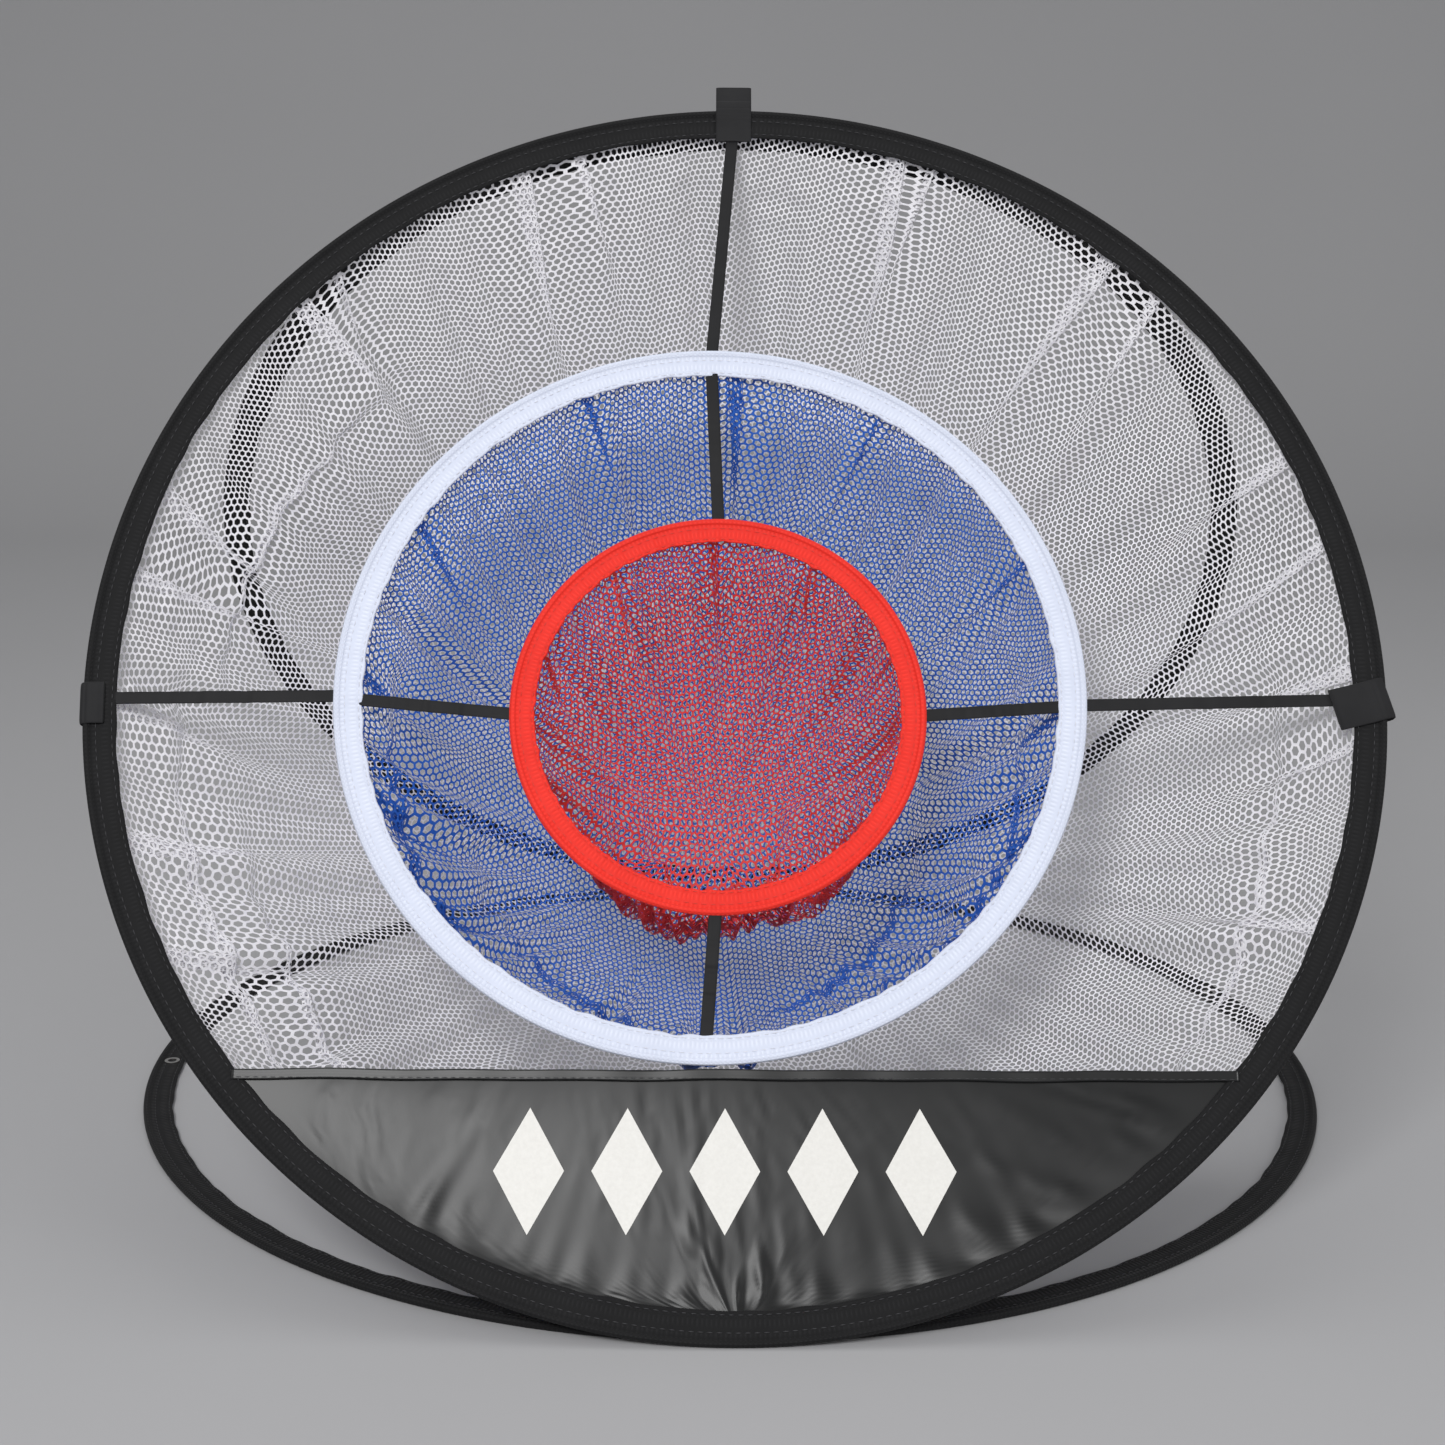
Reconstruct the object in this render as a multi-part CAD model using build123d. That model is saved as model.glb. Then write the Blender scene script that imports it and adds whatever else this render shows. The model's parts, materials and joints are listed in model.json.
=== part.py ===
from build123d import *
import os
from math import acos, atan2, cos, degrees, hypot, radians, sin, sqrt

# Pop-up golf chipping net.  Three sprung hoops in sewn fabric sleeves stand as a tent: the base hoop lies
# on the ground, the front hoop leans back and the rear hoop leans forward to meet it at the top.
# Units are millimetres.  The origin is the middle of the base hoop on the ground, the front faces -Y.

# hoops
HOOP_DIAMETER = 510.0
BASE_DIAMETER = 540.0
SLEEVE_WIDTH = 13.0
BULGE_RADIUS = 1.6
SLEEVE_THICKNESS = 1.0
WIRE_RADIUS = 0.9
WIRE_TUNNEL_RADIUS = 1.25
FERRULE_RADIUS = 1.2
FERRULE_LENGTH = 20.0
RUNNING_GAP = 0.3
HINGE_SETBACK = 2.0
TOP_SPACING = 3.8

# target rings, placed in the front hoop's plane: X across, Y up the plane from the front hinge line
WHITE_RING_DIAMETER = 295.0
WHITE_RING_CENTRE = (-10.0, 247.0)
WHITE_BAND = 11.5
RED_RING_DIAMETER = 163.0
RED_RING_CENTRE = (-7.0, 238.0)
RED_BAND = 10.0
RING_BULGE_RADIUS = 1.4
RING_SLEEVE_THICKNESS = 0.9
RING_WIRE_RADIUS = 0.8
RING_TUNNEL_RADIUS = 1.1
RING_FERRULE_RADIUS = 1.05
RING_FERRULE_LENGTH = 14.0

# nets: depth behind the ring, how far the bottom sags down the plane, and how far the rim is set in
NET_WALL = 1.2
NET_STEPS = (0.0, 0.2, 0.4, 0.6, 0.8, 0.94)
OUTER_NET = {"depth": 120.0, "sag": 20.0, "rim_inset": 9.0}
MIDDLE_NET = {"depth": 90.0, "sag": 16.0, "rim_inset": 7.5}
INNER_NET = {"depth": 62.0, "sag": 10.0, "rim_inset": 6.5}

# apron across the bottom of the front hoop
APRON_TOP = 98.0
APRON_THICKNESS = 0.6
HEM_HEIGHT = 4.0
HEM_THICKNESS = 0.5
PRINT_THICKNESS = 0.2
PRINT_COUNT = 5
PRINT_PITCH = 36.0
PRINT_SIZE = (26.0, 46.0)
PRINT_CENTRE = (-4.0, 61.0)

# elastic straps
STRAP_WIDTH = 5.0
STRAP_THICKNESS = 0.7
STRAP_TUCK = 3.0

# tabs on the hoops
TAB_THICKNESS = 0.7
TOP_TAB_WIDTH = 15.0
TOP_TAB_X = -1.0
TOP_TAB_FOOT = 493.0
TOP_TAB_RISE = 10.5
HOOK_PAD_MARGIN = 0.8
SIDE_TAB_LENGTH = 17.0
SIDE_TAB_REACH = 7.2
LEFT_TAB_ANGLE = 183.0
RIGHT_TAB_ANGLE = -2.0
RIGHT_TAB_FLAP = 22.0
RIGHT_TAB_TILT = 16.0

# peg eyelets in the base sleeve
EYELET_ANGLES = (181.5, 20.0)
EYELET_HOLE_RADIUS = 2.0
EYELET_BARREL_RADIUS = 2.4
EYELET_FLANGE_RADIUS = 3.5
EYELET_FLANGE_THICKNESS = 0.4

# seam tapes on the base sleeve
TAPE_LENGTH = 46.0
TAPE_WIDTH = 8.0
TAPE_THICKNESS = 0.4

HOOP_WIRE_RING = HOOP_DIAMETER / 2 - BULGE_RADIUS
BASE_WIRE_RING = BASE_DIAMETER / 2 - BULGE_RADIUS
HINGE_Y = BASE_DIAMETER / 2 + HINGE_SETBACK
FRONT_HINGE_Z = BULGE_RADIUS
REAR_HINGE_Z = 3 * BULGE_RADIUS + RUNNING_GAP


def lean_angles():
    """Angles of the front and rear hoops above the ground, from the triangle that the three hoops make."""
    base_run = hypot(2 * HINGE_Y, REAR_HINGE_Z - FRONT_HINGE_Z)
    base_tilt = atan2(REAR_HINGE_Z - FRONT_HINGE_Z, 2 * HINGE_Y)
    rear_run = 2 * HOOP_WIRE_RING
    meeting_run = rear_run - TOP_SPACING
    front_inner = acos((base_run**2 + meeting_run**2 - rear_run**2) / (2 * base_run * meeting_run))
    rear_inner = acos((base_run**2 + rear_run**2 - meeting_run**2) / (2 * base_run * rear_run))
    front = front_inner + base_tilt + atan2(TOP_SPACING, meeting_run)
    return degrees(front), degrees(rear_inner - base_tilt)


FRONT_LEAN, REAR_LEAN = lean_angles()

front_plane = Plane(
    origin=(0, -HINGE_Y, FRONT_HINGE_Z),
    x_dir=(1, 0, 0),
    z_dir=(0, -sin(radians(FRONT_LEAN)), cos(radians(FRONT_LEAN))),
)
rear_plane = Plane(
    origin=(0, HINGE_Y, REAR_HINGE_Z),
    x_dir=(1, 0, 0),
    z_dir=(0, -sin(radians(REAR_LEAN)), -cos(radians(REAR_LEAN))),
)
on_front = front_plane.location
on_rear = rear_plane.location
hoop_centre = Pos(0, HOOP_WIRE_RING, 0)


def filled_sleeve(wire_ring, bulge, width, thickness):
    """The outer shape of a sleeve: a round edge over the wire and a flat band inside it, in the XY plane."""
    inner = wire_ring + bulge - width
    flange_width = wire_ring - inner
    flange = Pos(inner + flange_width / 2, 0) * Rectangle(flange_width, thickness)
    section = Plane.XZ * (flange + Pos(wire_ring, 0) * Circle(bulge))
    return revolve(section, Axis.Z)


def hoop_shape(wire_ring):
    return filled_sleeve(wire_ring, BULGE_RADIUS, SLEEVE_WIDTH, SLEEVE_THICKNESS)


def target_shape(diameter, band):
    return filled_sleeve(diameter / 2 - RING_BULGE_RADIUS, RING_BULGE_RADIUS, band, RING_SLEEVE_THICKNESS)


def ring_wire(wire_ring, radius):
    """The closed spring wire inside a sleeve."""
    return Torus(wire_ring, radius)


def ring_ferrule(wire_ring, wire_radius, ferrule_radius, length, at_angle):
    """The crimped tube that joins the two ends of a wire."""
    section = Plane.XZ * (Pos(wire_ring, 0) * (Circle(ferrule_radius) - Circle(wire_radius)))
    arc = degrees(length / wire_ring)
    return Rot(0, 0, at_angle) * revolve(section, Axis.Z, arc)


def net_cup(rim_radius, depth, sag):
    """A hanging net as a thin open cup: a spherical cap under its ring that sags down the plane."""
    sphere = (rim_radius**2 + depth**2) / (2 * depth)

    def cap(shrink):
        sections = []
        for step in NET_STEPS:
            below = depth * step
            radius = sqrt(sphere**2 - (sphere - depth + below) ** 2) - shrink
            sections.append(Pos(0, -sag * step, -below * (1 - shrink / depth)) * Circle(radius))
        return loft(sections, ruled=True)

    return cap(0.0) - cap(NET_WALL)


def strap(start, end):
    """A flat elastic strap between two points of the plane."""
    run = hypot(end[0] - start[0], end[1] - start[1])
    turn = degrees(atan2(end[1] - start[1], end[0] - start[0]))
    middle = Pos((start[0] + end[0]) / 2, (start[1] + end[1]) / 2, 0)
    return middle * Rot(0, 0, turn) * Box(run, STRAP_WIDTH, STRAP_THICKNESS)


def side_tab(flap):
    """A fabric tab folded over the hoop's outer edge, with a flap on its face, before the hoop is cut out."""
    thickness = 2 * (BULGE_RADIUS + TAB_THICKNESS)
    fold = Pos(-SIDE_TAB_REACH / 2, 0, 0) * Box(SIDE_TAB_REACH, SIDE_TAB_LENGTH, thickness)
    flap_height = SLEEVE_THICKNESS / 2 + TAB_THICKNESS
    return fold + Pos(-flap / 2, 0, flap_height / 2) * Box(flap, SIDE_TAB_LENGTH, flap_height)


def apron_outline():
    """The segment of the hoop's opening below the apron's top edge."""
    opening = HOOP_WIRE_RING + BULGE_RADIUS - SLEEVE_WIDTH
    disc = Pos(0, HOOP_WIRE_RING) * Circle(opening)
    below = Pos(0, APRON_TOP / 2) * Rectangle(HOOP_DIAMETER, APRON_TOP)
    return disc & below


def diamond(width, height):
    """One plain printed diamond."""
    points = [(width / 2, 0), (0, height / 2), (-width / 2, 0), (0, -height / 2)]
    return make_face(Polyline(*points, close=True))


def eyelet():
    """A peg eyelet: a barrel through the flat band with a rolled flange on each face."""
    top = 2 * BULGE_RADIUS
    flange = Cylinder(EYELET_FLANGE_RADIUS, EYELET_FLANGE_THICKNESS)
    half_sleeve = (SLEEVE_THICKNESS + EYELET_FLANGE_THICKNESS) / 2
    middle = BULGE_RADIUS
    barrel = Pos(0, 0, middle) * Cylinder(EYELET_BARREL_RADIUS, SLEEVE_THICKNESS)
    rims = [Pos(0, 0, middle + side * half_sleeve) * flange for side in (-1, 1)]
    hole = Pos(0, 0, middle) * Cylinder(EYELET_HOLE_RADIUS, top)
    return barrel + rims[0] + rims[1] - hole


def base_parts():
    shape = Pos(0, 0, BULGE_RADIUS) * hoop_shape(BASE_WIRE_RING)
    sleeve = shape - Pos(0, 0, BULGE_RADIUS) * ring_wire(BASE_WIRE_RING, WIRE_TUNNEL_RADIUS)
    band_middle = BASE_DIAMETER / 2 - SLEEVE_WIDTH / 2 - BULGE_RADIUS / 2
    eyelets = []
    for angle in EYELET_ANGLES:
        place = Rot(0, 0, angle) * Pos(band_middle, 0, 0)
        eyelets.append(place * eyelet())
        sleeve -= place * Pos(0, 0, BULGE_RADIUS) * Cylinder(EYELET_BARREL_RADIUS, 2 * BULGE_RADIUS)
    tape_height = 2 * BULGE_RADIUS + TAPE_THICKNESS - BULGE_RADIUS
    tape_block = Box(TAPE_LENGTH, TAPE_WIDTH, tape_height)
    tape_y = BASE_DIAMETER / 2 - 1.0 - TAPE_WIDTH / 2
    tape_z = BULGE_RADIUS + tape_height / 2
    tapes = [Pos(0, side * tape_y, tape_z) * tape_block - shape for side in (-1, 1)]
    return {
        "base_sleeve": sleeve,
        "base_wire": Pos(0, 0, BULGE_RADIUS) * ring_wire(BASE_WIRE_RING, WIRE_RADIUS),
        "base_wire_ferrule": Pos(0, 0, BULGE_RADIUS)
        * ring_ferrule(BASE_WIRE_RING, WIRE_RADIUS, FERRULE_RADIUS, FERRULE_LENGTH, 60),
        "base_eyelets": Compound(children=eyelets),
        "front_seam_tape": tapes[0],
        "rear_seam_tape": tapes[1],
    }


def hoop_parts(name, place, ferrule_angle):
    """Sleeve, wire and ferrule of the front or the rear hoop."""
    sleeve = hoop_shape(HOOP_WIRE_RING) - ring_wire(HOOP_WIRE_RING, WIRE_TUNNEL_RADIUS)
    ferrule = ring_ferrule(HOOP_WIRE_RING, WIRE_RADIUS, FERRULE_RADIUS, FERRULE_LENGTH, ferrule_angle)
    return {
        f"{name}_sleeve": place * hoop_centre * sleeve,
        f"{name}_wire": place * hoop_centre * ring_wire(HOOP_WIRE_RING, WIRE_RADIUS),
        f"{name}_wire_ferrule": place * hoop_centre * ferrule,
    }


def target_parts(name, net_name, centre, diameter, band, net):
    """A target ring in the front plane, with its wire, ferrule and net pouch."""
    wire_ring = diameter / 2 - RING_BULGE_RADIUS
    middle = Pos(centre[0], centre[1], 0)
    sleeve = target_shape(diameter, band) - ring_wire(wire_ring, RING_TUNNEL_RADIUS)
    ferrule = ring_ferrule(wire_ring, RING_WIRE_RADIUS, RING_FERRULE_RADIUS, RING_FERRULE_LENGTH, 130)
    cup = net_cup(diameter / 2 - net["rim_inset"], net["depth"], net["sag"])
    behind_band = Pos(0, 0, -RING_SLEEVE_THICKNESS / 2)
    return {
        f"{name}_sleeve": on_front * middle * sleeve,
        f"{name}_wire": on_front * middle * ring_wire(wire_ring, RING_WIRE_RADIUS),
        f"{name}_wire_ferrule": on_front * middle * ferrule,
        net_name: on_front * middle * behind_band * cup,
    }


def ring_edge(centre, radius, angle):
    """A point of a ring's edge in the front plane."""
    return (centre[0] + radius * cos(radians(angle)), centre[1] + radius * sin(radians(angle)))


def strap_parts(tabs):
    """The straps that hang each ring from the one round it, trimmed to what they are sewn to."""
    cutters = [
        on_front * hoop_centre * hoop_shape(HOOP_WIRE_RING),
        on_front * Pos(*WHITE_RING_CENTRE) * target_shape(WHITE_RING_DIAMETER, WHITE_BAND),
        on_front * Pos(*RED_RING_CENTRE) * target_shape(RED_RING_DIAMETER, RED_BAND),
        *tabs,
    ]
    hoop_middle = (0.0, HOOP_WIRE_RING)
    hoop_edge = HOOP_DIAMETER / 2 - SLEEVE_WIDTH + STRAP_TUCK
    white_outside = WHITE_RING_DIAMETER / 2 - STRAP_TUCK
    white_inside = WHITE_RING_DIAMETER / 2 - WHITE_BAND + STRAP_TUCK
    red_outside = RED_RING_DIAMETER / 2 - STRAP_TUCK
    runs = {
        "strap_top_outer": (hoop_middle, hoop_edge, 90.3, WHITE_RING_CENTRE, white_outside, 90),
        "strap_left_outer": (hoop_middle, hoop_edge, 182.5, WHITE_RING_CENTRE, white_outside, 181.2),
        "strap_right_outer": (hoop_middle, hoop_edge, -2.2, WHITE_RING_CENTRE, white_outside, -2.3),
        "strap_top_inner": (WHITE_RING_CENTRE, white_inside, 90, RED_RING_CENTRE, red_outside, 90),
        "strap_left_inner": (WHITE_RING_CENTRE, white_inside, 181.8, RED_RING_CENTRE, red_outside, 181),
        "strap_right_inner": (WHITE_RING_CENTRE, white_inside, -2.6, RED_RING_CENTRE, red_outside, -1),
        "strap_bottom_inner": (WHITE_RING_CENTRE, white_inside, -90.5, RED_RING_CENTRE, red_outside, -90.5),
    }
    straps = {}
    for name, (outer_centre, outer_radius, outer_angle, inner_centre, inner_radius, inner_angle) in runs.items():
        start = ring_edge(outer_centre, outer_radius, outer_angle)
        end = ring_edge(inner_centre, inner_radius, inner_angle)
        piece = on_front * strap(start, end)
        for cutter in cutters:
            piece -= cutter
        straps[name] = piece
    return straps


def tab_parts():
    """The tabs on the front hoop, and the hook and loop tabs that hold the two hoops together at the top."""
    front_hoop = on_front * hoop_centre * hoop_shape(HOOP_WIRE_RING)
    rear_hoop = on_rear * hoop_centre * hoop_shape(HOOP_WIRE_RING)
    front_face = BULGE_RADIUS + TAB_THICKNESS
    hoop_top = 2 * HOOP_WIRE_RING + BULGE_RADIUS
    tab_top = hoop_top + TOP_TAB_RISE
    tab_run = tab_top - TOP_TAB_FOOT
    tab_middle = Pos(TOP_TAB_X, TOP_TAB_FOOT + tab_run / 2, front_face / 2)
    top = on_front * tab_middle * Box(TOP_TAB_WIDTH, tab_run, front_face) - front_hoop

    rear_front_face = -(TOP_SPACING - BULGE_RADIUS) + 0.1
    rear_back_face = -(TOP_SPACING + BULGE_RADIUS + TAB_THICKNESS)
    rear_thickness = rear_front_face - rear_back_face
    rear_foot = 2 * HOOP_WIRE_RING - TOP_SPACING
    rear_run = tab_top - rear_foot
    rear_middle = Pos(TOP_TAB_X, rear_foot + rear_run / 2, rear_back_face + rear_thickness / 2)
    rear = on_front * rear_middle * Box(TOP_TAB_WIDTH, rear_run, rear_thickness) - rear_hoop

    pad_back = rear_front_face + RUNNING_GAP
    pad_run = TOP_TAB_RISE - 2 * HOOK_PAD_MARGIN
    pad_middle = Pos(TOP_TAB_X, hoop_top + TOP_TAB_RISE / 2, pad_back / 2)
    pad = on_front * pad_middle * Box(TOP_TAB_WIDTH - 2 * HOOK_PAD_MARGIN, pad_run, -pad_back)

    outer_edge = HOOP_DIAMETER / 2 + TAB_THICKNESS
    left_place = Rot(0, 0, LEFT_TAB_ANGLE) * Pos(outer_edge, 0, 0)
    left = on_front * hoop_centre * left_place * side_tab(SIDE_TAB_REACH)
    right_place = Rot(0, 0, RIGHT_TAB_ANGLE) * Pos(outer_edge, 0, 0) * Rot(0, 0, RIGHT_TAB_TILT)
    right = on_front * hoop_centre * right_place * side_tab(RIGHT_TAB_FLAP)
    return {
        "tab_top": top,
        "tab_top_hook_pad": pad,
        "tab_left": left - front_hoop,
        "tab_right": right - front_hoop,
    }, {"rear_top_tab": rear}


def apron_parts():
    panel = extrude(apron_outline(), APRON_THICKNESS / 2, both=True)
    hem_block = Pos(0, APRON_TOP - HEM_HEIGHT / 2, 0) * Box(HOOP_DIAMETER, HEM_HEIGHT, 10)
    hem = Pos(0, 0, APRON_THICKNESS / 2) * extrude(apron_outline(), HEM_THICKNESS) & hem_block
    marks = []
    for index in range(PRINT_COUNT):
        x = PRINT_CENTRE[0] + (index - (PRINT_COUNT - 1) / 2) * PRINT_PITCH
        place = Pos(x, PRINT_CENTRE[1], APRON_THICKNESS / 2)
        marks.append(on_front * place * extrude(diamond(*PRINT_SIZE), PRINT_THICKNESS))
    return {
        "apron_panel": on_front * panel,
        "apron_hem": on_front * hem,
        "apron_print": Compound(children=marks),
    }


def outer_net():
    cup = net_cup(HOOP_DIAMETER / 2 - OUTER_NET["rim_inset"], OUTER_NET["depth"], OUTER_NET["sag"])
    return on_front * hoop_centre * Pos(0, 0, -SLEEVE_THICKNESS / 2) * cup


def all_parts():
    parts = base_parts()
    front = hoop_parts("front", on_front, 300)
    rear = hoop_parts("rear", on_rear, 240)
    white = target_parts(
        "white_ring", "middle_net", WHITE_RING_CENTRE, WHITE_RING_DIAMETER, WHITE_BAND, MIDDLE_NET
    )
    red = target_parts("red_ring", "inner_net", RED_RING_CENTRE, RED_RING_DIAMETER, RED_BAND, INNER_NET)
    front_tabs, rear_tabs = tab_parts()
    straps = strap_parts(front_tabs.values())
    for group in (front, rear, white, red, straps, front_tabs, rear_tabs, apron_parts()):
        parts.update(group)
    parts["outer_net"] = outer_net()
    return parts


os.makedirs("parts", exist_ok=True)
for node, shape in all_parts().items():
    export_step(shape, f"parts/{node}.step")
print(f"front lean {FRONT_LEAN:.3f} degrees, rear lean {REAR_LEAN:.3f} degrees")
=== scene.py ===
import json
import math

import bpy
import numpy as np
from mathutils import Matrix, Vector

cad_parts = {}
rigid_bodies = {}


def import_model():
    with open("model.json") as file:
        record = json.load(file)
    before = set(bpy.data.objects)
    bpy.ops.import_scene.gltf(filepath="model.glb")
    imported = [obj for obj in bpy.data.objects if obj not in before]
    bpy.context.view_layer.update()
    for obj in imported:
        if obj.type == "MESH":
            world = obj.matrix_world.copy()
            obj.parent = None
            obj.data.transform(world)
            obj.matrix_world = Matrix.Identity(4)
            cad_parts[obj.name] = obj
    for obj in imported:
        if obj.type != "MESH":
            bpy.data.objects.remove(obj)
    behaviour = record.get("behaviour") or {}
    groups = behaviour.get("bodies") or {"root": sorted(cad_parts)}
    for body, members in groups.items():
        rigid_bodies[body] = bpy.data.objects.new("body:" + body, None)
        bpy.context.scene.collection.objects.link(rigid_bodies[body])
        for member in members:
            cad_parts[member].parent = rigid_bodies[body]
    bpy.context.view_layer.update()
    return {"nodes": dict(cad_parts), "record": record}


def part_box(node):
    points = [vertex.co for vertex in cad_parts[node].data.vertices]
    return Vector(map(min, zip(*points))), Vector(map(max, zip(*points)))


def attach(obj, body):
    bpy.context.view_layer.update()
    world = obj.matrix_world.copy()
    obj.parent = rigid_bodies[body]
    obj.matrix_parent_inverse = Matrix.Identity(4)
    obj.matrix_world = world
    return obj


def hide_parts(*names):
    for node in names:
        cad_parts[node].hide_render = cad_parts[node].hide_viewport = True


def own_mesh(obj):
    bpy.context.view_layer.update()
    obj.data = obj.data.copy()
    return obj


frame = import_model()

# Sizes are metres.  A point of a hoop's plane is (across, up, out): up runs from the bottom of the hoop to
# its top, and out runs towards the viewer for the front hoop.

# ---------------- camera, floor and light
CAMERA_PLACE = (-0.0105, -1.0082, 0.4047)
CAMERA_DOWN = 13.36
CAMERA_TURN = -0.35
CAMERA_ROLL = 0.30
CAMERA_LENS = 56.39
CAMERA_SENSOR = 36.0

# ---------------- driving dimensions
HOOP_BULGE = 0.0016
SLEEVE_WIDTH = 0.013
SLEEVE_THICKNESS = 0.0010
RING_BULGE = 0.0014
RING_THICKNESS = 0.0009
WHITE_BAND = 0.0115
RED_BAND = 0.0100
STRAP_WIDTH = 0.0050
STRAP_THICKNESS = 0.0008
STRAP_OVERLAP = 0.001
TAB_THICKNESS = 0.0011
THREAD_SHARE = 0.27
MESH_PITCH = 0.0027
APRON_FULLNESS = 1.035
PRINT_COUNT = 5
RIM_GAP = 0.0008
GROUND_GAP = 0.004
NET_FRAMES = 24
APRON_FRAMES = 22
APRON_LIMIT = 0.0030
SEED = 7


# ---------------- planes and rings, read from the frame
def hinge(name):
    """A joint's place in the frame's record, as an array."""
    for joint in frame["record"]["behaviour"]["joints"]:
        if joint["name"] == name:
            return np.array(joint["pos_m"])
    raise KeyError(name)


class HoopPlane:
    """The plane of a hoop: it turns (across, up, out) into a place in the frame."""

    def __init__(self, origin, top):
        run = top - origin
        run[0] = 0.0
        self.origin = origin
        self.up = run / np.linalg.norm(run)
        self.across = np.array([1.0, 0.0, 0.0])
        self.out = np.cross(self.across, self.up)

    def place(self, local):
        local = np.asarray(local, float)
        return (
            self.origin
            + local[..., 0:1] * self.across
            + local[..., 1:2] * self.up
            + local[..., 2:3] * self.out
        )

    def local(self, point):
        offset = np.asarray(point, float) - self.origin
        return np.array([offset @ self.across, offset @ self.up, offset @ self.out])


def box_middle(node):
    low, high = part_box(node)
    return (np.array(low) + np.array(high)) / 2


def box_width(node):
    low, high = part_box(node)
    return high[0] - low[0]


def hoop_plane(joint, wire):
    """The plane through a hinge and the middle of the hoop's wire."""
    return HoopPlane(hinge(joint), box_middle(wire))


front_plane = hoop_plane("front_fold", "front_wire")
rear_plane = hoop_plane("rear_fold", "rear_wire")
base_plane = HoopPlane(np.array([0.0, 0.0, HOOP_BULGE]), np.array([0.0, 1.0, HOOP_BULGE]))


class Ring:
    """A sleeve's ring in a plane: its middle, its outer radius and its band."""

    def __init__(self, plane, node, band, bulge, thickness):
        self.plane = plane
        self.middle = plane.local(box_middle(node))
        self.radius = box_width(node) / 2
        self.band = band
        self.bulge = bulge
        self.thickness = thickness
        self.wire_radius = self.radius - bulge
        self.inner = self.radius - band

    def place(self, radius, angle, out):
        across = self.middle[0] + radius * np.cos(angle)
        up = self.middle[1] + radius * np.sin(angle)
        return self.plane.place(np.stack(np.broadcast_arrays(across, up, out), -1))


front_ring = Ring(front_plane, "front_sleeve", SLEEVE_WIDTH, HOOP_BULGE, SLEEVE_THICKNESS)
rear_ring = Ring(rear_plane, "rear_sleeve", SLEEVE_WIDTH, HOOP_BULGE, SLEEVE_THICKNESS)
base_ring = Ring(base_plane, "base_sleeve", SLEEVE_WIDTH, HOOP_BULGE, SLEEVE_THICKNESS)
white_ring = Ring(front_plane, "white_ring_sleeve", WHITE_BAND, RING_BULGE, RING_THICKNESS)
red_ring = Ring(front_plane, "red_ring_sleeve", RED_BAND, RING_BULGE, RING_THICKNESS)


# ---------------- mesh helpers
def new_piece(name, vertices, faces, material, smooth=True):
    """A mesh object with one material."""
    mesh = bpy.data.meshes.new(name)
    mesh.from_pydata(np.asarray(vertices).tolist(), [], [tuple(f) for f in faces])
    mesh.validate()
    mesh.polygons.foreach_set("use_smooth", [smooth] * len(mesh.polygons))
    mesh.materials.append(material)
    piece = bpy.data.objects.new(name, mesh)
    bpy.context.scene.collection.objects.link(piece)
    return piece


def grid_faces(rows, columns, close_rows=False, close_columns=False):
    """Quads of a grid of rows x columns points, stored row by row."""
    faces = []
    for i in range(rows if close_rows else rows - 1):
        for j in range(columns if close_columns else columns - 1):
            here, below = i * columns, (i + 1) % rows * columns
            beside = (j + 1) % columns
            faces.append((here + j, here + beside, below + beside, below + j))
    return faces


def wave(angle, orders, seed, amplitude):
    """A smooth uneven closed curve: a few sine waves with fixed random sizes and phases."""
    draw = np.random.default_rng(seed)
    total = np.zeros_like(angle)
    for order in orders:
        total += draw.uniform(0.4, 1.0) * np.sin(order * angle + draw.uniform(0, 2 * math.pi))
    return amplitude * total / len(orders)


# ---------------- materials
def new_material(name):
    material = bpy.data.materials.new(name)
    material.use_nodes = True
    nodes = material.node_tree.nodes
    return material, nodes, material.node_tree.links, nodes["Principled BSDF"]


def colour_mix(nodes, links, shader, factor, dark, light):
    """Runs the base colour from dark to light along a 0 to 1 output."""
    ramp = nodes.new("ShaderNodeValToRGB")
    ramp.color_ramp.elements[0].color = (*dark, 1)
    ramp.color_ramp.elements[1].color = (*light, 1)
    links.new(factor, ramp.inputs["Fac"])
    links.new(ramp.outputs["Color"], shader.inputs["Base Color"])
    return ramp


def noise(nodes, links, scale, detail=3.0):
    """A noise texture in object coordinates."""
    coordinates = nodes.new("ShaderNodeTexCoord")
    texture = nodes.new("ShaderNodeTexNoise")
    texture.inputs["Scale"].default_value = scale
    texture.inputs["Detail"].default_value = detail
    links.new(coordinates.outputs["Object"], texture.inputs["Vector"])
    return texture


def weave_height(nodes, links, pitch):
    """A plain weave along the UV map: two sets of fine ridges that cross, as a height."""
    coordinates = nodes.new("ShaderNodeTexCoord")
    heights = []
    for direction in ("X", "Y"):
        ridges = nodes.new("ShaderNodeTexWave")
        ridges.bands_direction = direction
        ridges.inputs["Scale"].default_value = 1.0 / pitch / 20.0 * math.pi
        ridges.inputs["Distortion"].default_value = 0.4
        links.new(coordinates.outputs["UV"], ridges.inputs["Vector"])
        heights.append(ridges)
    product = nodes.new("ShaderNodeMath")
    product.operation = "MULTIPLY"
    links.new(heights[0].outputs["Fac"], product.inputs[0])
    links.new(heights[1].outputs["Fac"], product.inputs[1])
    return product.outputs["Value"]


def bump(nodes, links, shader, height, distance, strength):
    node = nodes.new("ShaderNodeBump")
    node.inputs["Distance"].default_value = distance
    node.inputs["Strength"].default_value = strength
    links.new(height, node.inputs["Height"])
    links.new(node.outputs["Normal"], shader.inputs["Normal"])


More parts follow.
